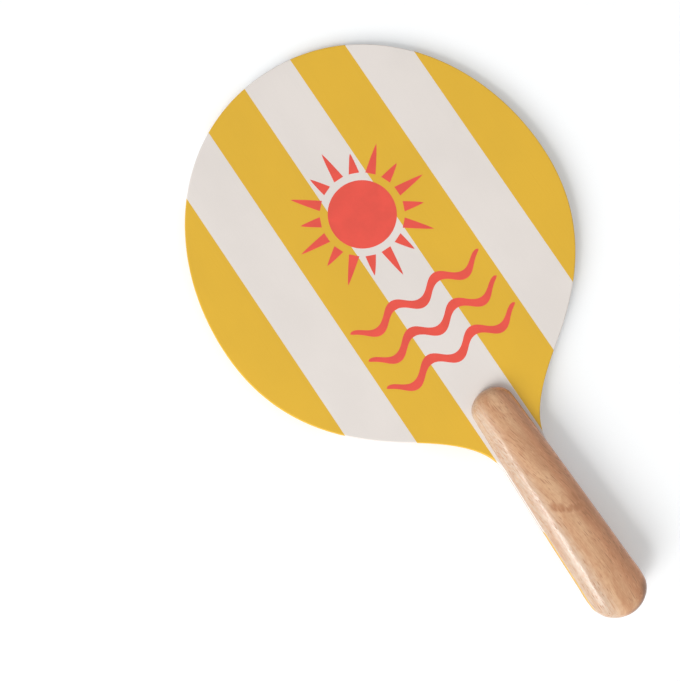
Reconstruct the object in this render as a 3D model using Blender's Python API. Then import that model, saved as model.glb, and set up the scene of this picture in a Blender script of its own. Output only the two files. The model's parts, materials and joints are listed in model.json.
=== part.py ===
"""A wooden beach game paddle: a plywood blade whose tang runs the length of the grip, between two scales.

In the paddle's own axes the tip is at the origin, +Y points out past the tip, and +Z is the front face's
normal. The whole paddle then lies on its back as on a table, on the crown of its back scale and the tip of
its blade. All sizes are in metres.
"""

import math

import bmesh
import bpy

# Blade outline, along the paddle from its tip to its butt
WIDEST_FROM_TIP = 0.133
FLANK_BELOW_WIDEST = 0.1087
NECK_BELOW_FLANK = 0.0507
TANG_LENGTH = 0.1076

# Blade outline, across the paddle
BLADE_WIDTH = 0.236
FLANK_WIDTH = 0.108
FLANK_ANGLE = math.radians(55.4)  # between the flank and the paddle's axis

# How far the outline follows its own direction on leaving each of those points
TIP_REACH = 0.0694
SHOULDER_REACH = 0.0721
SIDE_REACH = 0.057
UPPER_FLANK_REACH = 0.0365
LOWER_FLANK_REACH = 0.040
NECK_REACH = 0.0144

# Plywood of the blade and the tang
VENEER_THICKNESS = 0.0010
GLUE_LINE = 0.0003

# Grip scales, seen from the front
SCALE_ONTO_BLADE = 0.0524
GRIP_UPPER_WIDTH = 0.0282
GRIP_BUTT_WIDTH = 0.0366
GRIP_SIDE_BOW = 0.0004
UPPER_END_ROUND = 0.0115
BUTT_END_ROUND = 0.015

# Grip scales, seen from the side
SCALE_HEIGHT = 0.0095
UPPER_END_RISE = 0.012
BUTT_END_RISE = 0.012

# How full the roundings are: 2 is an ellipse, and more is squarer in the shoulders
PLAN_POWER = 2.0
RISE_POWER = 2.8
SECTION_POWER = 2.2

# Steps of the curved stretches: an odd number across a scale leaves a narrow flat on its crown
CURVE_STEPS = 14
END_STEPS = 8
SIDE_STEPS = 9
SECTION_STEPS = 15
SHARP_ANGLE = math.radians(50)  # edges that turn more than this are shaded as edges

# Colours as linear red, green and blue, each with its roughness
YELLOW_PAINT = (0.77, 0.48, 0.06), 0.45
BARE_VENEER = (0.72, 0.55, 0.36), 0.7
LACQUERED_WOOD = (0.61, 0.35, 0.20), 0.4

VENEERS = {
    "back_face_veneer": YELLOW_PAINT,
    "back_crossband": BARE_VENEER,
    "core_veneer": BARE_VENEER,
    "front_crossband": BARE_VENEER,
    "front_face_veneer": YELLOW_PAINT,
}

NECK_FROM_TIP = WIDEST_FROM_TIP + FLANK_BELOW_WIDEST + NECK_BELOW_FLANK
PADDLE_LENGTH = NECK_FROM_TIP + TANG_LENGTH
GRIP_FROM_TIP = NECK_FROM_TIP - SCALE_ONTO_BLADE
GRIP_LENGTH = TANG_LENGTH + SCALE_ONTO_BLADE
BLADE_THICKNESS = len(VENEERS) * VENEER_THICKNESS + (len(VENEERS) - 1) * GLUE_LINE


def clear_scene():
    for found in list(bpy.data.objects):
        bpy.data.objects.remove(found, do_unlink=True)


def plain_material(name, finish):
    """A material in one colour with one roughness."""
    colour, roughness = finish
    made = bpy.data.materials.new(name)
    made.use_nodes = True
    shader = made.node_tree.nodes["Principled BSDF"]
    shader.inputs["Base Color"].default_value = (*colour, 1.0)
    shader.inputs["Roughness"].default_value = roughness
    shader.inputs["Metallic"].default_value = 0.0
    return made


def cubic(start, start_handle, end_handle, end):
    """Points along a curve from start up to, but without, its end."""
    points = []
    for step in range(CURVE_STEPS):
        t = step / CURVE_STEPS
        weights = ((1 - t) ** 3, 3 * (1 - t) ** 2 * t, 3 * (1 - t) * t * t, t**3)
        corners = (start, start_handle, end_handle, end)
        x = sum(weight * corner[0] for weight, corner in zip(weights, corners))
        y = sum(weight * corner[1] for weight, corner in zip(weights, corners))
        points.append((x, y))
    return points


def end_fullness(distance, depth, power):
    """Share of the full size at this distance from a round end that fills out over depth."""
    short = min(1.0, max(0.0, 1.0 - distance / depth))
    return (1.0 - short**power) ** (1.0 / power)


def grip_side(distance):
    """Half width on the grip's side line, this far below its upper end: it widens to the butt and bows."""
    run = GRIP_LENGTH - UPPER_END_ROUND - BUTT_END_ROUND
    share = min(1.0, max(0.0, (distance - UPPER_END_ROUND) / run))
    width = GRIP_UPPER_WIDTH + (GRIP_BUTT_WIDTH - GRIP_UPPER_WIDTH) * share
    from_middle = 2 * share - 1
    return width / 2 + GRIP_SIDE_BOW * (1 - from_middle**2)


def grip_half_width(distance):
    """Half width of the grip with both round ends."""
    upper = end_fullness(distance, UPPER_END_ROUND, PLAN_POWER)
    butt = end_fullness(GRIP_LENGTH - distance, BUTT_END_ROUND, PLAN_POWER)
    return grip_side(distance) * upper * butt


def scale_height(distance):
    """Height of a scale's crown over its glued face."""
    upper = end_fullness(distance, UPPER_END_RISE, RISE_POWER)
    butt = end_fullness(GRIP_LENGTH - distance, BUTT_END_RISE, RISE_POWER)
    return SCALE_HEIGHT * upper * butt


def grip_stations():
    """Distances below the grip's upper end, close together where the two ends round off."""
    upper = max(UPPER_END_ROUND, UPPER_END_RISE)
    butt = max(BUTT_END_ROUND, BUTT_END_RISE)
    run = GRIP_LENGTH - upper - butt
    turns = [math.cos(math.pi / 2 * step / END_STEPS) for step in range(END_STEPS)]
    upper_end = [upper * (1 - turn) for turn in turns]
    sides = [upper + run * step / SIDE_STEPS for step in range(SIDE_STEPS + 1)]
    butt_end = [GRIP_LENGTH - butt * (1 - turn) for turn in reversed(turns)]
    return upper_end + sides + butt_end


def half_outline():
    """The blade's right edge, from the middle of the tip to the middle of the butt."""
    widest = (BLADE_WIDTH / 2, -WIDEST_FROM_TIP)
    flank = (FLANK_WIDTH / 2, -WIDEST_FROM_TIP - FLANK_BELOW_WIDEST)
    inward, down = -math.sin(FLANK_ANGLE), -math.cos(FLANK_ANGLE)
    above_flank = (flank[0] - UPPER_FLANK_REACH * inward, flank[1] - UPPER_FLANK_REACH * down)
    below_flank = (flank[0] + LOWER_FLANK_REACH * inward, flank[1] + LOWER_FLANK_REACH * down)

    # The neck runs into the grip's side line, and points back up along it
    neck = (grip_side(SCALE_ONTO_BLADE), -NECK_FROM_TIP)
    above_neck = (grip_side(SCALE_ONTO_BLADE - NECK_REACH), neck[1] + NECK_REACH)

    shoulder = (widest[0], widest[1] + SHOULDER_REACH)
    side = (widest[0], widest[1] - SIDE_REACH)
    points = cubic((0.0, 0.0), (TIP_REACH, 0.0), shoulder, widest)
    points += cubic(widest, side, above_flank, flank)
    points += cubic(flank, below_flank, above_neck, neck)
    points.append(neck)
    for distance in grip_stations():
        if distance > SCALE_ONTO_BLADE:
            points.append((grip_half_width(distance), -GRIP_FROM_TIP - distance))
    return points


def add_part(name, data, frame, collection, finish):
    """An object for one piece of the paddle, in the paddle's own axes."""
    part = bpy.data.objects.new(name, data)
    part.parent = frame
    part.data.materials.append(plain_material(name, finish))
    collection.objects.link(part)
    return part


def veneer_curve(name):
    """One veneer, blade and tang in one sheet."""
    right = half_outline()
    left = [(-x, y) for x, y in reversed(right[1:-1])]
    outline = right + left
    curve = bpy.data.curves.new(name, "CURVE")
    curve.dimensions = "2D"
    curve.fill_mode = "BOTH"
    curve.extrude = VENEER_THICKNESS / 2
    spline = curve.splines.new("POLY")
    spline.points.add(len(outline) - 1)
    for point, (x, y) in zip(spline.points, outline):
        point.co = (x, y, 0.0, 1.0)
    spline.use_cyclic_u = True
    return curve


def scale_section(half_width, height):
    """Points over a scale from its right edge to its left edge, as x and z."""
    points = []
    for step in range(SECTION_STEPS + 1):
        angle = math.pi * step / SECTION_STEPS
        across = math.copysign(abs(math.cos(angle)) ** (2 / SECTION_POWER), math.cos(angle))
        up = abs(math.sin(angle)) ** (2 / SECTION_POWER) if 0 < step < SECTION_STEPS else 0.0
        points.append((half_width * across, height * up))
    return points


def scale_mesh():
    """One grip scale, lofted through its sections, with its glued face at z = 0."""
    stations = grip_stations()
    shape = bmesh.new()
    rings = []
    for distance in stations[1:-1]:
        section = scale_section(grip_half_width(distance), scale_height(distance))
        rings.append([shape.verts.new((x, -GRIP_FROM_TIP - distance, z)) for x, z in section])
    upper_end = shape.verts.new((0.0, -GRIP_FROM_TIP, 0.0))
    butt_end = shape.verts.new((0.0, -GRIP_FROM_TIP - GRIP_LENGTH, 0.0))
    for step in range(SECTION_STEPS):
        for ring, lower in zip(rings, rings[1:]):
            shape.faces.new((ring[step], ring[step + 1], lower[step + 1], lower[step]))
        shape.faces.new((upper_end, rings[0][step + 1], rings[0][step]))
        shape.faces.new((butt_end, rings[-1][step], rings[-1][step + 1]))
    right_edge = [ring[0] for ring in rings]
    left_edge = [ring[-1] for ring in reversed(rings)]
    shape.faces.new([upper_end, *right_edge, butt_end, *left_edge])
    bmesh.ops.recalc_face_normals(shape, faces=shape.faces)
    mesh = bpy.data.meshes.new("grip_scale")
    shape.to_mesh(mesh)
    shape.free()
    mesh.shade_smooth()
    mesh.set_sharp_from_angle(angle=SHARP_ANGLE)
    return mesh


def rest_tilt():
    """Angle by which the paddle leans, tip down, when its tip and its back scale's crown touch a table."""
    slopes = []
    for distance in grip_stations():
        crown = max(z for x, z in scale_section(grip_half_width(distance), scale_height(distance)))
        slopes.append(math.atan2(GLUE_LINE + crown, GRIP_FROM_TIP + distance))
    return max(slopes)


def add_frame(collection):
    """The empty that carries the paddle: its lowest points are at z = 0 and its middle is over the origin."""
    tilt = rest_tilt()
    frame = bpy.data.objects.new("paddle_frame", None)
    frame.empty_display_size = BLADE_WIDTH / 4
    frame.rotation_euler.x = -tilt
    frame.location.y = (PADDLE_LENGTH * math.cos(tilt) + GLUE_LINE * math.sin(tilt)) / 2
    frame.location.z = BLADE_THICKNESS / 2 * math.cos(tilt)
    collection.objects.link(frame)
    return frame


def add_veneers(frame, collection):
    """The blade's veneers, laid up from the back to the front."""
    back = -BLADE_THICKNESS / 2 + VENEER_THICKNESS / 2
    for layer, (name, finish) in enumerate(VENEERS.items()):
        veneer = add_part(name, veneer_curve(name), frame, collection, finish)
        veneer.location.z = back + layer * (VENEER_THICKNESS + GLUE_LINE)


def add_scales(frame, collection):
    """The two grip scales: the back one is the front one turned over about the paddle's axis."""
    seat = BLADE_THICKNESS / 2 + GLUE_LINE
    front = add_part("front_grip_scale", scale_mesh(), frame, collection, LACQUERED_WOOD)
    front.location.z = seat
    back = add_part("back_grip_scale", scale_mesh(), frame, collection, LACQUERED_WOOD)
    back.location.z = -seat
    back.rotation_euler.y = math.pi


def main():
    clear_scene()
    collection = bpy.data.collections.new("beach_game_paddle")
    bpy.context.scene.collection.children.link(collection)
    frame = add_frame(collection)
    add_veneers(frame, collection)
    add_scales(frame, collection)


main()
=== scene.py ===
"""Looks of the beach game paddle: a striped blade, a printed sun over waves, and lacquered grip scales.

Pieces are modelled in the paddle's own axes and then placed as the frame has them. The blade's tip is at the
origin, +Y points out past the tip, +Z is the front face's normal and z = 0 is the middle of the blade.
All sizes are in metres, and all colours are linear red, green and blue.
"""

import json
import math

import bmesh
import bpy
import numpy as np
from mathutils import Matrix, Vector


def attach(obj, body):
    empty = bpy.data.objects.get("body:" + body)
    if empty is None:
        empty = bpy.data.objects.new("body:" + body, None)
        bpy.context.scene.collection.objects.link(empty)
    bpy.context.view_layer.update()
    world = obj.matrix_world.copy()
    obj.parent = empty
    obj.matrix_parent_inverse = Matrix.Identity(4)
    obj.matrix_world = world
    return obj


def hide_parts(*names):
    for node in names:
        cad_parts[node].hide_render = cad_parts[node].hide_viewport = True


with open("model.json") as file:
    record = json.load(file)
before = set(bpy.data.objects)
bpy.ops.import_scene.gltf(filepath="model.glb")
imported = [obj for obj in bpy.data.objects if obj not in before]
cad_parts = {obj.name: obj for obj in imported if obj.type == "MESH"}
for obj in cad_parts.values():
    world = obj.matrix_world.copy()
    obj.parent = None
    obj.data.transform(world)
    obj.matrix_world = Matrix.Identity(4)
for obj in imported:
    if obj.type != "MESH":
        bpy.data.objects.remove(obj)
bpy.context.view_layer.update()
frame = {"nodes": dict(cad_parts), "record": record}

# Blade
STRIPE_WIDTH = 0.034
EDGE_ROUND = 0.0008
EDGE_ROUND_STEPS = 5
FLAT_BAND = 0.0004  # flat rim inside the rounded edge, which keeps the rounding out of the face's shading
PLY_EASE = 0.00007  # sanded corner of each veneer, which leaves a fine line from one to the next
OUTLINE_STEPS = 5

# Grip scales
SCALE_SECTION_POWER = 2.2  # 2 is half an ellipse, and more is squarer in the shoulders
SCALE_SECTION_STEPS = 44
SCALE_LENGTH_STEPS = 4
SCALE_EASE = 0.00012

# Reading and closing meshes
MIRRORED = np.array([-1.0, 1.0])  # signs that take x and y across the paddle's axis
ROW_GAP = 0.00002  # points that lie closer than this along the grip are one row
ON_AXIS = 0.00001  # points that lie closer than this to the paddle's axis are on it
POINT_DECIMALS = 6  # points that agree to this many decimals are one
MERGE_DISTANCE = 0.000001
SHARP_ANGLE = math.radians(40)

# Printed motif, from the blade's tip
INK_THICKNESS = 0.00004
INK_SUNK = INK_THICKNESS / 4  # how far the film reaches into the paint
SUN_FROM_TIP = 0.108
SUN_RADIUS = 0.0215
SUN_STEPS = 32
SUN_RAYS = 16
RAY_START = 0.0262
RAY_ENDS = (0.0455, 0.0390)
RAY_WIDTH = 0.0066
RAY_TAPER = 0.8  # 1 is a ray with straight sides, and less is fuller
RAY_STEPS = 8
WAVES_FROM_TIP = (0.170, 0.190, 0.210)
WAVE_HALF_LENGTH = 0.048
WAVE_LENGTH = 0.032
WAVE_HEIGHT = 0.0042
WAVE_THICKNESS = 0.0062
WAVE_THINNING = 0.28  # share of its thickness that a wave loses between its crests and troughs
WAVE_END_POWER = 4  # 2 is an ellipse's ends, and more is blunter
WAVE_STEPS = 80

# Paint and ink
YELLOW = (0.740, 0.440, 0.032)
CREAM = (0.772, 0.716, 0.674)
CORAL = (0.785, 0.086, 0.060)
CORAL_THIN = (0.83, 0.14, 0.09)  # where the paint beneath shows through
PAINT_TINTS = (0.975, 1.02)  # darkest and lightest of the cloudy coat
GRAIN_TINT = 0.86
SPECK_TINT = 1.12
EDGE_TINT = 0.86  # paint on the inner veneers' edges, against that on the faces
SOAKED_TINT = 0.72  # fibres in those edges that drink the most paint
EDGE_DRYNESS = 0.12  # roughness that those edges add to the paint's
INK_TINTS = (0.95, 1.05)
PAINT_IOR = 1.46

# Wood of the grips
# painted sheen: a paler, greyer tone for the grips' flank that faces the lamps
WOOD_PAINTED_SHEEN = (0.50, 0.455, 0.385)
WOOD_LIGHT = (0.69, 0.425, 0.245)
WOOD_GLEAM = (0.773, 0.476, 0.274)
WOOD_DARK = (0.49, 0.245, 0.118)
WOOD_RED = (0.46, 0.195, 0.088)
WOOD_FIGURE = (0.423, 0.179, 0.081)
# partly a warmer wood tone and partly painted shade, on the grips' side away from the lamps
WOOD_WARM_AND_SHADE = (0.56, 0.245, 0.118)
WOOD_PORE = (0.38, 0.170, 0.080)
# painted bounce light along the low part of the grips' far side
WOOD_PAINTED_BOUNCE = (0.78, 0.340, 0.165)
# painted shade on the butt's rim away from the lamps
WOOD_PAINTED_SHADE = (0.23, 0.098, 0.044)
LACQUER_IOR = 1.5

# Sizes of what the finishes show, as width across the paddle and length along it
PAINT_CLOUD_SIZE = (0.045, 0.060)
PAINT_GRAIN_SIZE = (0.0009, 0.030)
PAINT_PEEL_SIZE = (0.0011, 0.0014)
SPECK_SPACING = (0.013, 0.013)
EDGE_FIBRE_SIZE = (0.0005, 0.0012)
INK_CLOUD_SIZE = (0.012, 0.012)
INK_TOOTH_SIZE = (0.0006, 0.0006)
DRIFT_SIZE = (0.040, 0.075)
TONE_SIZE = (0.010, 0.090)
BLUSH_SIZE = (0.009, 0.060)
STREAK_SIZE = (0.0012, 0.045)
MOTTLE_SIZE = (0.0020, 0.0034)
FIBRE_SIZE = (0.0006, 0.0068)
LONG_PORE_SIZE = (0.0012, 0.0190)
SHORT_PORE_SIZE = (0.0010, 0.0066)
PORE_CROWD_SIZE = (0.007, 0.020)
FIGURE_RAG_SIZE = (0.0009, 0.0045)
SANDING_SIZE = (0.009, 0.020)
PAPER_TOOTH_SIZE = (0.002, 0.002)

# Depths of the relief in the finishes
PAINT_GRAIN_DEPTH = 0.00003
PAINT_PEEL_DEPTH = 0.000012
EDGE_FIBRE_DEPTH = 0.00005
INK_TOOTH_DEPTH = 0.00001
SANDING_DEPTH = 0.00045
FIBRE_DEPTH = 0.00006
LACQUER_DEPTH = 0.000015
PAPER_TOOTH_DEPTH = 0.00001

# Grain of the grips
GRAIN_DRIFT = 0.012  # how far it strays from side to side
GRAIN_LEAN = 0.016  # how far it runs across
LEAN_ALONG = (-0.350, -0.235)  # between which places along the paddle it does
PITH = Vector((0.005, 0.0, -0.012))
PITH_LEAN = 0.055  # how fast the rings' radius shifts along the paddle
RING_WIDTH = 0.0026
LONG_PORE_RANK = 1.96  # from which rank, of chance and crowd together, a pore shows
SHORT_PORE_RANK = 2.02
PORE_RANK_FADE = 0.25
PORE_CROWDING = 3.0  # weight of the crowd against chance
PORE_SHARE = 0.88

# Places across the grips between which painted light and shade, and warmer wood, come in
PAINTED_SHEEN_SIDE = (-0.003, -0.013)
WARM_AND_SHADE_SIDE = (0.002, 0.009)
PAINTED_BOUNCE_SIDE = (0.004, 0.009)
PAINTED_SHADE_SIDE = (-0.007, 0.003)

# Heights from the blade's middle, and places along the butt, for the painted bounce light and painted shade
PAINTED_BOUNCE_HEIGHT = (0.0105, 0.0080)
PAINTED_SHADE_HEIGHT = (0.0116, 0.0096)
BUTT_ALONG = (-0.384, -0.392)

# Curl in the front scale's grain, as spots of x, y, half width and half length
FIGURE_SPOTS = (
    (-0.0044, -0.3205, 0.0022, 0.0042),
    (-0.0018, -0.3233, 0.0030, 0.0034),
    (0.0026, -0.3266, 0.0032, 0.0026),
    (0.0068, -0.3286, 0.0040, 0.0030),
    (0.0092, -0.3225, 0.0016, 0.0046),
)
FIGURE_RAGGED = 2.0  # how much the grain tears the spots' edges
FIGURE_HEIGHT = (0.0, 0.006)  # heights between which it comes in, all on the front scale
FIGURE_SHARE = 0.85

# Camera, in the paddle's own axes
CAMERA_PLACE = Vector((-0.0972, -0.2014, 0.6530))
CAMERA_AIM = Vector((-0.0552, -0.1655, 0.0031))
CAMERA_ROLL = math.radians(33.9)  # from the paddle's +Y to the picture's up, towards +X
CAMERA_NEAREST = 0.01
LENS_MM = 56.3
SENSOR_MM = 36.0

# Far lamps by name: azimuth from the paddle's +X towards its +Y, elevation and width in degrees,
# and share of the light on a level surface
FAR_LAMPS = {
    "key": (198, 49, 11, 0.13),
    "soft_key": (199, 34, 38, 0.28),
}
FAR_LAMP_DISTANCE = 1.0  # any will do, since a far lamp only has a direction
MIRRORED_LAMP = "key"  # the one far lamp that glossy surfaces mirror, so that highlights stay narrow

# Near lamp, given in the same way, which lights the grip more than the far side of the blade
NEAR_LAMP = (200, 34, 20, 0.09)
NEAR_LAMP_AIM = Vector((0.0, -0.30, 0.0))
NEAR_LAMP_DISTANCE = 0.8

# Fill, backdrop and floor
FILL_SHARE = 0.51
FILL_LEAN = 0.35  # how much stronger the fill is on the key's side than from straight above
WHITE = (1.0, 1.0, 1.0, 1.0)
FLOOR_SIZE = 16.0
FLOOR_CELLS = 8
FLOOR_COLOUR = (0.86, 0.86, 0.86)
FLOOR_TINT = 0.995  # darkest of the paper's tooth
FLOOR_GLOW = (0.177, 0.189, 0.196)  # lifts the paper to white where it is seen, but lights nothing


def paddle_axes():
    """The matrix from the paddle's own axes to the frame, read from its two flat faces and its tip."""
    mounts = {mount["name"]: mount for mount in frame["record"]["mounts"]}
    front = mounts["blade_front_face"]
    back = mounts["blade_back_face"]
    normal = Vector(front["axis"]).normalized()
    across = Vector((1.0, 0.0, 0.0))
    along = normal.cross(across)
    middle = (Vector(front["pos_m"]) + Vector(back["pos_m"])) / 2
    tip = max(along.dot(vertex.co - middle) for vertex in frame["nodes"]["core_veneer"].data.vertices)
    axes = Matrix((across, along, normal)).transposed().to_4x4()
    axes.translation = middle + along * tip
    return axes


AXES = paddle_axes()
TO_PADDLE = AXES.inverted()


def own_points(node):
    """A node's points in the paddle's own axes, as rows of x, y and z."""
    return np.array([TO_PADDLE @ vertex.co for vertex in frame["nodes"][node].data.vertices])


def with_ends(rows, signs):
    """Rows with one more at each end: the end's neighbour, times the given signs."""
    return np.vstack([rows[1] * signs, rows, rows[-2] * signs])


def smooth_line(points, steps):
    """A curve through the rows of points, less the first and last, which only steer its two ends."""
    chords = np.linalg.norm(np.diff(points, axis=0), axis=1)[:, None]
    slopes = np.diff(points, axis=0) / chords
    tangents = (slopes[:-1] * chords[1:] + slopes[1:] * chords[:-1]) / (chords[:-1] + chords[1:])
    shares = np.linspace(0.0, 1.0, steps, endpoint=False)[:, None]
    line = []
    for start, end, out, into, chord in zip(points[1:-2], points[2:-1], tangents, tangents[1:], chords[1:]):
        line.append(
            (2 * shares**3 - 3 * shares**2 + 1) * start
            + (shares**3 - 2 * shares**2 + shares) * chord * out
            + (3 * shares**2 - 2 * shares**3) * end
            + (shares**3 - shares**2) * chord * into
        )
    return np.vstack([*line, points[-2:-1]])


def blade_outline():
    """The right half of the blade's outline from the tip to the butt, as rows of x and y."""
    points = own_points("core_veneer")
    upper_side = points[:, 2] > points[:, 2].mean()
    points = np.unique(np.round(points[upper_side, :2], POINT_DECIMALS), axis=0)
    widest = points[np.argmax(points[:, 0])]
    right = points[points[:, 0] > -ON_AXIS]
    turns = np.arctan2(right[:, 0], right[:, 1] - widest[1])
    right = right[np.argsort(turns)]
    return smooth_line(with_ends(right, MIRRORED), OUTLINE_STEPS)


def inset_line(line, inset):
    """A half outline moved in from its edge. Its two ends stay on the paddle's axis."""
    padded = with_ends(line, MIRRORED)
    along = padded[2:] - padded[:-2]
    along /= np.linalg.norm(along, axis=1)[:, None]
    inward = np.column_stack([along[:, 1], -along[:, 0]])
    return line + inset * inward


def add_piece(name, mesh, materials, replaced=None):
    """An object for a mesh in the paddle's own axes, placed in the frame."""
    mesh.transform(AXES)
    piece = bpy.data.objects.new(name, mesh)
    bpy.context.scene.collection.objects.link(piece)
    for material in materials:
        mesh.materials.append(material)
    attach(piece, "root")
    if replaced:
        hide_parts(replaced)


def finished_mesh(name, shape):
    """The mesh of a bmesh shape, closed, facing outwards and shaded smooth."""
    bmesh.ops.remove_doubles(shape, verts=shape.verts, dist=MERGE_DISTANCE)
    bmesh.ops.recalc_face_normals(shape, faces=shape.faces)
    mesh = bpy.data.meshes.new(name)
    shape.to_mesh(mesh)
    shape.free()
    mesh.shade_smooth()
    mesh.set_sharp_from_angle(angle=SHARP_ANGLE)
    return mesh


def join_rings(shape, rings):
    """Faces from each ring of points to the next."""
    for ring, further in zip(rings, rings[1:]):
        for step in range(len(ring)):
            shape.faces.new((ring[step - 1], ring[step], further[step], further[step - 1]))


def level_strips(shape, ring):
    """Fills a ring that is symmetric about the paddle's axis, with faces from its right side to its left."""
    half = len(ring) // 2
    shape.faces.new((ring[0], ring[1], ring[-1]))
    for step in range(1, half - 1):
        shape.faces.new((ring[step], ring[step + 1], ring[-step - 1], ring[-step]))
    shape.faces.new((ring[half - 1], ring[half], ring[half + 1]))


def ply_corner(round_over):
    """Steps over a veneer's corner as (inset, rise), either rounded over or only eased."""
    if not round_over:
        return [(PLY_EASE, 0.0), (0.0, PLY_EASE)]
    turns = [math.pi / 2 * step / EDGE_ROUND_STEPS for step in range(EDGE_ROUND_STEPS + 1)]
    arc = [(EDGE_ROUND * (1 - math.sin(turn)), EDGE_ROUND * (1 - math.cos(turn))) for turn in turns]
    return [(EDGE_ROUND + FLAT_BAND, 0.0), *arc]


def ply_profile(low, high, round_low, round_high):
    """Steps up a veneer's edge as (inset, z)."""
    rising = [(inset, low + rise) for inset, rise in ply_corner(round_low)]
    falling = [(inset, high - rise) for inset, rise in reversed(ply_corner(round_high))]
    return rising + falling


def stripe_of(x):
    """0 on a cream stripe and 1 on a yellow one."""
    return round(abs(x) / STRIPE_WIDTH) % 2


def cut_stripes(shape):
    """Cuts the shape at each stripe's edges and gives every face its stripe's colour."""
    widest = max(vert.co.x for vert in shape.verts)
    edges = np.arange(STRIPE_WIDTH / 2, widest, STRIPE_WIDTH)
    for x in (*edges, *-edges):
        everything = [*shape.verts, *shape.edges, *shape.faces]
        bmesh.ops.bisect_plane(shape, geom=everything, plane_co=(x, 0, 0), plane_no=(1, 0, 0))
    for face in shape.faces:
        face.material_index = stripe_of(face.calc_center_median().x)


def veneer_mesh(name, outline, profile):
    """One veneer, blade and tang in one sheet."""
    shape = bmesh.new()
    rings = []
    for inset, z in profile:
        line = inset_line(outline, inset)
        right = [shape.verts.new((x, y, z)) for x, y in line]
        left = [shape.verts.new((-x, y, z)) for x, y in reversed(line[1:-1])]
        rings.append(right + left)
    join_rings(shape, rings)
    level_strips(shape, rings[0])
    level_strips(shape, rings[-1])
    cut_stripes(shape)
    return finished_mesh(name, shape)


def add_veneers():
    """Adds the five veneers, which share out the blade's thickness, and returns its front face's height."""
    names = ("back_face_veneer", "back_crossband", "core_veneer", "front_crossband", "front_face_veneer")
    levels = [own_points(name)[:, 2] for name in names]
    seams = [(lower.max() + upper.min()) / 2 for lower, upper in zip(levels, levels[1:])]
    seams = [levels[0].min(), *seams, levels[-1].max()]
    outline = blade_outline()
    faces = (painted("cream_paint", CREAM), painted("yellow_paint", YELLOW))
    edges = (painted_edge("cream_edge", CREAM), painted_edge("yellow_edge", YELLOW))
    for name, low, high in zip(names, seams, seams[1:]):
        on_back = name == names[0]
        on_front = name == names[-1]
        mesh = veneer_mesh(name, outline, ply_profile(low, high, on_back, on_front))
        if on_back or on_front:
            add_piece(f"painted_{name}", mesh, faces, name)
        else:
            add_piece(f"painted_{name}", mesh, edges, name)
    return seams[-1]


def scale_section(half_width, height, base, seat):
    """Points over a scale from right to left, as x and z, with a short upright side at its foot."""
    ease = min(SCALE_EASE, half_width)
    foot = [(half_width - ease, base), (half_width, base + ease)]
    dome = []
    for step in range(SCALE_SECTION_STEPS + 1):
        turn = math.pi * step / SCALE_SECTION_STEPS
        across = math.copysign(abs(math.cos(turn)) ** (2 / SCALE_SECTION_POWER), math.cos(turn))
        up = abs(math.sin(turn)) ** (2 / SCALE_SECTION_POWER)
        dome.append((half_width * across, seat + height * up))
    return [*foot, *dome, (-half_width, base + ease), (ease - half_width, base)]


def scale_mesh(node, base, side):
    """A fine version of one grip scale, through the frame's own widths and heights along the grip."""
    points = own_points(node) * np.array([1.0, 1.0, side])
    seat = points[:, 2].min()
    points = points[np.argsort(-points[:, 1])]
    rows = np.split(points, np.flatnonzero(np.diff(points[:, 1]) < -ROW_GAP) + 1)
    stations = [(row[:, 1].mean(), np.abs(row[:, 0]).max(), row[:, 2].max() - seat) for row in rows]
    turned_over = np.array([1.0, -1.0, -1.0])
    stations = with_ends(np.array(stations), turned_over)
    shape = bmesh.new()
    rings = []
    for y, half_width, height in smooth_line(stations, SCALE_LENGTH_STEPS):
        section = scale_section(max(half_width, 0.0), max(height, 0.0), base, seat)
        rings.append([shape.verts.new((x, y, side * z)) for x, z in section])
    join_rings(shape, rings)
    return finished_mesh(node, shape)


def add_scales(blade_half):
    """The two grip scales, seated on the blade's faces."""
    wood = lacquered_wood()
    for node, side in (("front_grip_scale", 1.0), ("back_grip_scale", -1.0)):
        mesh = scale_mesh(node, blade_half, side)
        add_piece(f"lacquered_{node}", mesh, [wood], node)


def ribbon(shape, rungs, low, high):
    """A closed flat strip between two levels, through rungs that each hold its right and its left point."""
    rings = []
    for right, left in rungs:
        corners = ((*right, low), (*right, high), (*left, high), (*left, low))
        rings.append([shape.verts.new(corner) for corner in corners])
    join_rings(shape, rings)
    shape.faces.new(rings[0])
    shape.faces.new(rings[-1])


def sun_rungs():
    """Rungs across the sun's disc."""
    rungs = []
    for step in range(SUN_STEPS + 1):
        turn = math.pi * step / SUN_STEPS
        half = SUN_RADIUS * math.sin(turn)
        y = -SUN_FROM_TIP + SUN_RADIUS * math.cos(turn)
        rungs.append(((half, y), (-half, y)))
    return rungs


def ray_rungs(number):
    """Rungs along one of the sun's tapered rays."""
    turn = 2 * math.pi * number / SUN_RAYS
    out = Vector((math.sin(turn), math.cos(turn)))
    side = Vector((math.cos(turn), -math.sin(turn)))
    middle = Vector((0.0, -SUN_FROM_TIP))
    end = RAY_ENDS[number % len(RAY_ENDS)]
    rungs = []
    for step in range(RAY_STEPS + 1):
        share = step / RAY_STEPS
        half = RAY_WIDTH / 2 * (1 - share) ** RAY_TAPER
        place = middle + out * (RAY_START + (end - RAY_START) * share)
        rungs.append((place + side * half, place - side * half))
    return rungs


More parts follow.
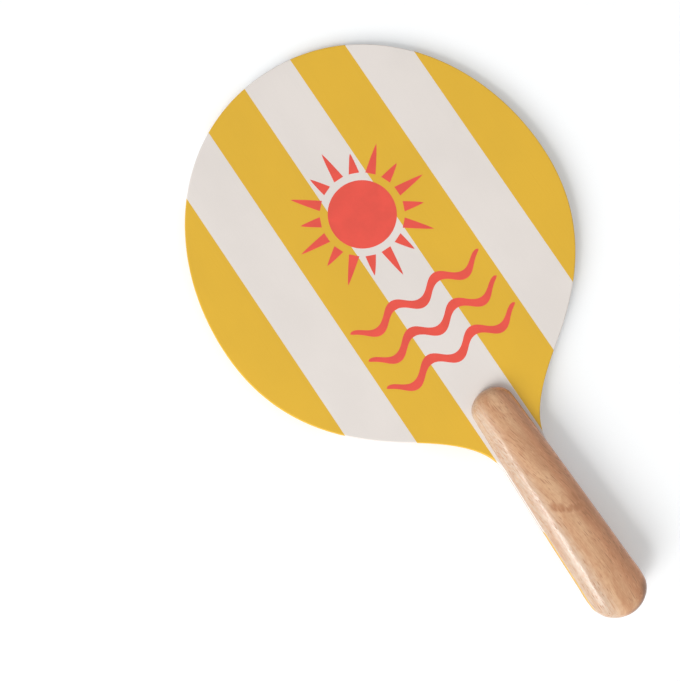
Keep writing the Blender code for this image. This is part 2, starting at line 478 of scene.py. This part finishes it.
def wave_rungs(from_tip):
    """Rungs along a wave that is fullest at its crests and troughs and tapers to both ends."""
    rungs = []
    for step in range(WAVE_STEPS + 1):
        x = WAVE_HALF_LENGTH * (2 * step / WAVE_STEPS - 1)
        phase = 2 * math.pi * x / WAVE_LENGTH
        place = Vector((x, -from_tip - WAVE_HEIGHT * math.cos(phase)))
        along = Vector((1.0, WAVE_HEIGHT * 2 * math.pi / WAVE_LENGTH * math.sin(phase))).normalized()
        taper = math.sqrt(max(0.0, 1 - abs(x / WAVE_HALF_LENGTH) ** WAVE_END_POWER))
        swell = 1 - WAVE_THINNING * (1 - math.cos(2 * phase)) / 2
        side = Vector((-along.y, along.x)) * (WAVE_THICKNESS / 2 * taper * swell)
        rungs.append((place - side, place + side))
    return rungs


def add_motif(face):
    """The sun and the waves, printed on the front face as one film of ink."""
    name = "printed_sun_and_waves"
    low = face - INK_SUNK
    high = face + INK_THICKNESS
    shape = bmesh.new()
    ribbon(shape, sun_rungs(), low, high)
    for number in range(SUN_RAYS):
        ribbon(shape, ray_rungs(number), low, high)
    for from_tip in WAVES_FROM_TIP:
        ribbon(shape, wave_rungs(from_tip), low, high)
    add_piece(name, finished_mesh(name, shape), [ink()])


def tinted(colour, share):
    """A colour made darker or lighter by a share."""
    return tuple(channel * share for channel in colour)


class Nodes:
    """A node tree under construction. Most methods add nodes and return what comes out of them."""

    def __init__(self, tree):
        self.tree = tree

    def add(self, kind, **inputs):
        """A new node, with its inputs fed by name."""
        node = self.tree.nodes.new(kind)
        self.feed_named(node, inputs)
        return node

    def feed_named(self, node, inputs):
        """Feeds a node's inputs by name, where an underscore stands for a space."""
        for name, value in inputs.items():
            self.feed(node.inputs[name.replace("_", " ")], value)

    def feed(self, socket, value):
        """Links a socket to an output, or sets it to a plain value."""
        if isinstance(value, bpy.types.NodeSocket):
            self.tree.links.new(value, socket)
        else:
            socket.default_value = value

    def math(self, operation, *values):
        """An operation on one to three numbers."""
        node = self.add("ShaderNodeMath")
        node.operation = operation
        for socket, value in zip(node.inputs, values):
            self.feed(socket, value)
        return node.outputs["Value"]

    def vector_math(self, operation, *vectors, output="Vector"):
        """An operation on one to three vectors."""
        node = self.add("ShaderNodeVectorMath")
        node.operation = operation
        for socket, vector in zip(node.inputs, vectors):
            self.feed(socket, vector)
        return node.outputs[output]

    def seen_itself(self):
        """1 on rays that show a surface itself: to the camera, in a reflection or through glass."""
        path = self.add("ShaderNodeLightPath").outputs
        seen = self.math("MAXIMUM", path["Is Camera Ray"], path["Is Glossy Ray"])
        return self.math("MAXIMUM", seen, path["Is Transmission Ray"])


class Finish(Nodes):
    """A material under construction, which measures its features in the paddle's own axes."""

    def __init__(self, name):
        self.material = bpy.data.materials.new(name)
        self.material.use_nodes = True
        super().__init__(self.material.node_tree)
        place = self.add("ShaderNodeTexCoord").outputs["Object"]
        offset = TO_PADDLE.to_translation()
        turn = TO_PADDLE.to_euler()
        move = self.add("ShaderNodeMapping", Vector=place, Location=offset, Rotation=turn)
        self.place = move.outputs["Vector"]

    def set(self, **inputs):
        """Feeds the shader's own inputs."""
        self.feed_named(self.tree.nodes["Principled BSDF"], inputs)

    def split(self, vector):
        """A vector's X, Y and Z."""
        return self.add("ShaderNodeSeparateXYZ", Vector=vector).outputs

    def scaled(self, size, place=None):
        """Coordinates in units of a feature's width across the paddle and its length along it."""
        across, along = size
        scale = (1 / across, 1 / along, 1 / across)
        return self.add("ShaderNodeMapping", Vector=place or self.place, Scale=scale).outputs["Vector"]

    def noise(self, size, place=None, detail=3.0, roughness=0.5, output="Fac"):
        """Clouds of a size, as a number or as a colour."""
        vector = self.scaled(size, place)
        node = self.add("ShaderNodeTexNoise", Vector=vector, Scale=1.0, Detail=detail, Roughness=roughness)
        return node.outputs[output]

    def cells(self, size, place=None):
        """Points scattered a size apart: the distance to the nearest, and that point's own chance colour."""
        node = self.add("ShaderNodeTexVoronoi", Vector=self.scaled(size, place), Scale=1.0)
        return node.outputs["Distance"], node.outputs["Color"]

    def span(self, value, low, high, to_low=0.0, to_high=1.0):
        """A value taken smoothly from one range to another and held at its ends."""
        node = self.add("ShaderNodeMapRange", Value=value)
        node.interpolation_type = "SMOOTHSTEP"
        self.feed_named(node, {"From_Min": low, "From_Max": high, "To_Min": to_low, "To_Max": to_high})
        return node.outputs["Result"]

    def mix(self, share, first, second):
        """From the first colour to the second."""
        node = self.add("ShaderNodeMix", Factor=share)
        node.data_type = "RGBA"
        colours = [socket for socket in node.inputs if socket.type == "RGBA"]
        for socket, colour in zip(colours, (first, second)):
            self.feed(socket, colour if isinstance(colour, bpy.types.NodeSocket) else (*colour, 1.0))
        return next(socket for socket in node.outputs if socket.type == "RGBA")

    def lay(self, under, over, value, low, high, most=1.0):
        """One colour laid over another as a value goes from low to high, up to a greatest share."""
        return self.mix(self.span(value, low, high, to_high=most), under, over)

    def bump(self, height, depth, normal=None):
        """A normal bent by a relief of some depth, on top of another normal if there is one."""
        node = self.add("ShaderNodeBump", Height=height, Strength=1.0, Distance=depth)
        if normal:
            self.feed(node.inputs["Normal"], normal)
        return node.outputs["Normal"]


def coat(finish, colour):
    """Satin paint: a cloudy coat, the veneer's grain faint beneath it, and a few specks of dust."""
    darkest, lightest = PAINT_TINTS
    cloud = finish.noise(PAINT_CLOUD_SIZE, detail=4.0)
    shade = finish.lay(tinted(colour, darkest), tinted(colour, lightest), cloud, low=0.3, high=0.7)
    grain = finish.noise(PAINT_GRAIN_SIZE)
    shade = finish.lay(shade, tinted(colour, GRAIN_TINT), grain, low=0.55, high=0.85, most=0.10)
    distance, chance = finish.cells(SPECK_SPACING)
    near = finish.span(distance, low=0.018, high=0.034, to_low=1.0, to_high=0.0)
    chosen = finish.span(chance, low=0.62, high=0.64, to_high=0.55)
    shade = finish.mix(finish.math("MULTIPLY", near, chosen), shade, tinted(colour, SPECK_TINT))
    peel = finish.noise(PAINT_PEEL_SIZE, detail=2.0)
    normal = finish.bump(grain, PAINT_GRAIN_DEPTH, finish.bump(peel, PAINT_PEEL_DEPTH))
    roughness = finish.span(cloud, low=0.25, high=0.75, to_low=0.40, to_high=0.50)
    return shade, normal, roughness


def painted(name, colour):
    """The paint on the blade's two faces."""
    finish = Finish(name)
    shade, normal, roughness = coat(finish, colour)
    finish.set(Base_Color=shade, Roughness=roughness, Normal=normal, IOR=PAINT_IOR)
    return finish.material


def painted_edge(name, colour):
    """The same paint on the inner veneers' edges, darker than on the faces, with fibres that drink more of
    it.
    """
    finish = Finish(name)
    shade, normal, roughness = coat(finish, tinted(colour, EDGE_TINT))
    fibre = finish.noise(EDGE_FIBRE_SIZE, detail=4.0, roughness=0.7)
    shade = finish.lay(shade, tinted(colour, SOAKED_TINT), fibre, low=0.45, high=0.8, most=0.30)
    normal = finish.bump(fibre, EDGE_FIBRE_DEPTH, normal)
    roughness = finish.math("ADD", roughness, EDGE_DRYNESS)
    finish.set(Base_Color=shade, Roughness=roughness, Normal=normal, IOR=PAINT_IOR)
    return finish.material


def ink():
    """Screen-printed ink, a little uneven and a little drier than the paint."""
    finish = Finish("coral_ink")
    darkest, lightest = INK_TINTS
    cloud = finish.noise(INK_CLOUD_SIZE, detail=5.0)
    shade = finish.lay(tinted(CORAL, darkest), tinted(CORAL, lightest), cloud, low=0.3, high=0.7)
    tooth = finish.noise(INK_TOOTH_SIZE, detail=2.0)
    shade = finish.lay(shade, CORAL_THIN, tooth, low=0.62, high=0.8, most=0.25)
    normal = finish.bump(tooth, INK_TOOTH_DEPTH)
    roughness = finish.span(cloud, low=0.2, high=0.8, to_low=0.46, to_high=0.56)
    finish.set(Base_Color=shade, Roughness=roughness, Normal=normal, IOR=PAINT_IOR)
    return finish.material


def wandering(finish):
    """The paddle's coordinates, with the grain's slow drift from side to side and its lean added."""
    drift = finish.noise(DRIFT_SIZE, detail=2.0, output="Color")
    centred = finish.vector_math("SUBTRACT", drift, (0.5, 0.5, 0.5))
    drifted = finish.vector_math("MULTIPLY_ADD", centred, (GRAIN_DRIFT, 0.0, GRAIN_DRIFT), finish.place)
    along = finish.split(finish.place)["Y"]
    lean = finish.add("ShaderNodeCombineXYZ", X=finish.span(along, *LEAN_ALONG, to_high=GRAIN_LEAN))
    return finish.vector_math("ADD", drifted, lean.outputs["Vector"])


def growth_rings(finish, place):
    """Rings about a pith that leans away from the grip's axis, so that they end in long loops."""
    from_pith = finish.split(finish.vector_math("SUBTRACT", place, PITH))
    across = finish.math("MULTIPLY", from_pith["X"], from_pith["X"])
    up = finish.math("MULTIPLY", from_pith["Z"], from_pith["Z"])
    radius = finish.math("SQRT", finish.math("ADD", across, up))
    lean = finish.math("MULTIPLY", from_pith["Y"], PITH_LEAN)
    count = finish.math("DIVIDE", finish.math("ADD", radius, lean), RING_WIDTH)
    return finish.math("FRACT", count)


def pores(finish, place, size, least_rank):
    """Short dark pores along the grain, thick in some places and thin in others."""
    distance, chance = finish.cells(size, place)
    near = finish.span(distance, low=0.10, high=0.34, to_low=1.0, to_high=0.0)
    crowd = finish.noise(PORE_CROWD_SIZE, place, detail=1.0)
    rank = finish.math("ADD", chance, finish.math("MULTIPLY", crowd, PORE_CROWDING))
    return finish.math("MULTIPLY", near, finish.span(rank, least_rank, least_rank + PORE_RANK_FADE))


def figure_mark(finish):
    """A short curl of redder grain across the front scale, 1 where it is strongest."""
    parts = finish.split(finish.place)
    rags = finish.noise(FIGURE_RAG_SIZE, roughness=0.6)
    torn = finish.math("MULTIPLY", rags, FIGURE_RAGGED)
    mark = None
    for x, y, half_width, half_length in FIGURE_SPOTS:
        across = finish.math("DIVIDE", finish.math("SUBTRACT", parts["X"], x), half_width)
        along = finish.math("DIVIDE", finish.math("SUBTRACT", parts["Y"], y), half_length)
        round_across = finish.math("MULTIPLY", across, across)
        round_both = finish.math("ADD", round_across, finish.math("MULTIPLY", along, along))
        edge = finish.math("ADD", round_both, torn)
        spot = finish.span(edge, low=0.9, high=2.1, to_low=1.0, to_high=0.0)
        mark = finish.math("MAXIMUM", mark, spot) if mark else spot
    return finish.math("MULTIPLY", mark, finish.span(parts["Z"], *FIGURE_HEIGHT))


def lacquered_wood():
    """Pale brown hardwood with short pores, under a clear satin lacquer, with painted sheen, shade and
    bounce light in its colour.
    """
    finish = Finish("grip_wood")
    place = wandering(finish)
    parts = finish.split(finish.place)
    height = finish.math("ABSOLUTE", parts["Z"])

    tone = finish.noise(TONE_SIZE, place, detail=2.0)
    tone_share = finish.span(tone, low=0.28, high=0.72, to_low=0.36)
    shade = finish.mix(tone_share, WOOD_DARK, WOOD_LIGHT)
    # Painted sheen on the grips' flank towards the lamps
    shade = finish.lay(shade, WOOD_PAINTED_SHEEN, parts["X"], *PAINTED_SHEEN_SIDE, most=0.60)
    # Warmer wood on the far flank, which is partly painted shade
    shade = finish.lay(shade, WOOD_WARM_AND_SHADE, parts["X"], *WARM_AND_SHADE_SIDE, most=0.85)
    # Painted bounce light low on the far flank
    painted_bounce = finish.math("MULTIPLY", finish.span(height, *PAINTED_BOUNCE_HEIGHT), finish.span(parts["X"], *PAINTED_BOUNCE_SIDE))
    shade = finish.mix(painted_bounce, shade, WOOD_PAINTED_BOUNCE)
    blush = finish.noise(BLUSH_SIZE, place, detail=2.0)
    shade = finish.lay(shade, WOOD_RED, blush, low=0.50, high=0.75, most=0.35)
    shade = finish.lay(shade, WOOD_RED, growth_rings(finish, place), low=0.60, high=0.97, most=0.24)
    streak = finish.noise(STREAK_SIZE, place, detail=4.0, roughness=0.6)
    shade = finish.lay(shade, WOOD_DARK, streak, low=0.50, high=0.70, most=0.42)
    mottle = finish.noise(MOTTLE_SIZE, place)
    shade = finish.lay(shade, WOOD_RED, mottle, low=0.42, high=0.70, most=0.30)
    fibre = finish.noise(FIBRE_SIZE, place, detail=5.0, roughness=0.7)
    shade = finish.lay(shade, WOOD_RED, fibre, low=0.51, high=0.68, most=0.52)
    shade = finish.lay(shade, WOOD_GLEAM, fibre, low=0.49, high=0.30, most=0.42)
    shade = finish.mix(finish.math("MULTIPLY", figure_mark(finish), FIGURE_SHARE), shade, WOOD_FIGURE)

    long_pores = pores(finish, place, LONG_PORE_SIZE, LONG_PORE_RANK)
    short_pores = pores(finish, place, SHORT_PORE_SIZE, SHORT_PORE_RANK)
    pore = finish.math("MAXIMUM", long_pores, short_pores)
    shade = finish.mix(finish.math("MULTIPLY", pore, PORE_SHARE), shade, WOOD_PORE)
    # Painted shade on the butt's rim, on the side away from the lamps
    butt = finish.math("MULTIPLY", finish.span(height, *PAINTED_SHADE_HEIGHT), finish.span(parts["Y"], *BUTT_ALONG))
    butt = finish.math("MULTIPLY", butt, finish.span(parts["X"], *PAINTED_SHADE_SIDE, to_high=0.8))
    shade = finish.mix(butt, shade, WOOD_PAINTED_SHADE)

    sanded = finish.bump(finish.noise(SANDING_SIZE, detail=2.0), SANDING_DEPTH)
    relief = finish.math("SUBTRACT", fibre, pore)
    normal = finish.bump(relief, FIBRE_DEPTH, sanded)
    lacquer = finish.bump(relief, LACQUER_DEPTH, sanded)
    roughness = finish.span(fibre, low=0.3, high=0.8, to_low=0.42, to_high=0.54)
    finish.set(Base_Color=shade, Roughness=roughness, Normal=normal, IOR=LACQUER_IOR)
    finish.set(Specular_IOR_Level=0.2, Coat_Weight=0.74, Coat_Roughness=0.20, Coat_Normal=lacquer)
    return finish.material


def white_paper():
    """Plain white paper with a faint tooth."""
    finish = Finish("white_paper")
    tooth = finish.noise(PAPER_TOOTH_SIZE)
    shade = finish.lay(tinted(FLOOR_COLOUR, FLOOR_TINT), FLOOR_COLOUR, tooth, low=0.3, high=0.7)
    normal = finish.bump(tooth, PAPER_TOOTH_DEPTH)
    finish.set(Base_Color=shade, Roughness=0.9, Specular_IOR_Level=0.0, Normal=normal)
    finish.set(Emission_Color=(*FLOOR_GLOW, 1.0), Emission_Strength=finish.seen_itself())
    return finish.material


def add_floor():
    """The pale level surface that the paddle lies on."""
    shape = bmesh.new()
    bmesh.ops.create_grid(shape, x_segments=FLOOR_CELLS, y_segments=FLOOR_CELLS, size=FLOOR_SIZE / 2)
    mesh = bpy.data.meshes.new("floor")
    shape.to_mesh(mesh)
    shape.free()
    mesh.materials.append(white_paper())
    floor = bpy.data.objects.new("floor", mesh)
    bpy.context.scene.collection.objects.link(floor)


def lamp_direction(azimuth, elevation):
    """Towards a lamp, in the paddle's own axes."""
    level = math.cos(elevation)
    return Vector((level * math.cos(azimuth), level * math.sin(azimuth), math.sin(elevation)))


def add_lamp(name, kind, towards, aim, distance):
    """A lamp of some kind that faces its aim, in the paddle's own axes."""
    lamp = bpy.data.objects.new(name, bpy.data.lights.new(name, kind))
    turn = towards.to_track_quat("Z", "Y").to_matrix().to_4x4()
    lamp.matrix_world = AXES @ Matrix.Translation(aim + towards * distance) @ turn
    bpy.context.scene.collection.objects.link(lamp)
    return lamp


def add_far_lamps():
    """Lamps from beside the grip, which light the paddle evenly."""
    for name, (*angles, share) in FAR_LAMPS.items():
        azimuth, elevation, width = map(math.radians, angles)
        lamp = add_lamp(name, "SUN", lamp_direction(azimuth, elevation), Vector(), FAR_LAMP_DISTANCE)
        lamp.visible_glossy = name == MIRRORED_LAMP
        lamp.data.energy = math.pi * share / math.sin(elevation)
        lamp.data.angle = width


def add_near_lamp():
    """A weak round lamp near the grip, with the power that gives its share on a level surface at its aim."""
    *angles, share = NEAR_LAMP
    azimuth, elevation, width = map(math.radians, angles)
    half = width / 2
    lamp = add_lamp("near", "AREA", lamp_direction(azimuth, elevation), NEAR_LAMP_AIM, NEAR_LAMP_DISTANCE)
    lamp.data.shape = "DISK"
    lamp.data.size = 2 * NEAR_LAMP_DISTANCE * math.tan(half)
    lamp.data.energy = share * (math.pi * NEAR_LAMP_DISTANCE / math.cos(half)) ** 2 / math.sin(elevation)


def add_surroundings():
    """A soft fill from all round, stronger from the key's side, and the white backdrop seen in its place."""
    world = bpy.data.worlds.new("studio")
    bpy.context.scene.world = world
    world.use_nodes = True
    nodes = Nodes(world.node_tree)
    key_azimuth = math.radians(FAR_LAMPS["key"][0])
    key_side = AXES.to_3x3() @ lamp_direction(key_azimuth, 0.0)
    ray = nodes.add("ShaderNodeTexCoord").outputs["Generated"]
    lean = nodes.vector_math("DOT_PRODUCT", ray, key_side, output="Value")
    strength = nodes.math("MULTIPLY_ADD", lean, FILL_SHARE * FILL_LEAN, FILL_SHARE)
    fill = nodes.add("ShaderNodeBackground", Color=WHITE, Strength=strength)
    backdrop = world.node_tree.nodes["Background"]
    nodes.feed_named(backdrop, {"Color": WHITE})
    choice = nodes.add("ShaderNodeMixShader", Fac=nodes.seen_itself())
    nodes.feed(choice.inputs[1], fill.outputs["Background"])
    nodes.feed(choice.inputs[2], backdrop.outputs["Background"])
    nodes.feed_named(world.node_tree.nodes["World Output"], {"Surface": choice.outputs["Shader"]})


def add_camera():
    """The photograph's viewing angle on the paddle."""
    ahead = (CAMERA_AIM - CAMERA_PLACE).normalized()
    along = Vector((0.0, 1.0, 0.0))
    level = (along - ahead * along.dot(ahead)).normalized()
    up = level * math.cos(CAMERA_ROLL) + ahead.cross(level) * math.sin(CAMERA_ROLL)
    turn = Matrix((ahead.cross(up), up, -ahead)).transposed().to_4x4()
    lens = bpy.data.cameras.new("camera")
    lens.lens = LENS_MM
    lens.sensor_width = SENSOR_MM
    lens.sensor_fit = "HORIZONTAL"
    lens.clip_start = CAMERA_NEAREST
    camera = bpy.data.objects.new("camera", lens)
    camera.matrix_world = AXES @ Matrix.Translation(CAMERA_PLACE) @ turn
    bpy.context.scene.collection.objects.link(camera)
    bpy.context.scene.camera = camera


bpy.context.scene.view_settings.view_transform = "Standard"
front_face = add_veneers()
add_scales(front_face)
add_motif(front_face)
add_floor()
add_far_lamps()
add_near_lamp()
add_surroundings()
add_camera()
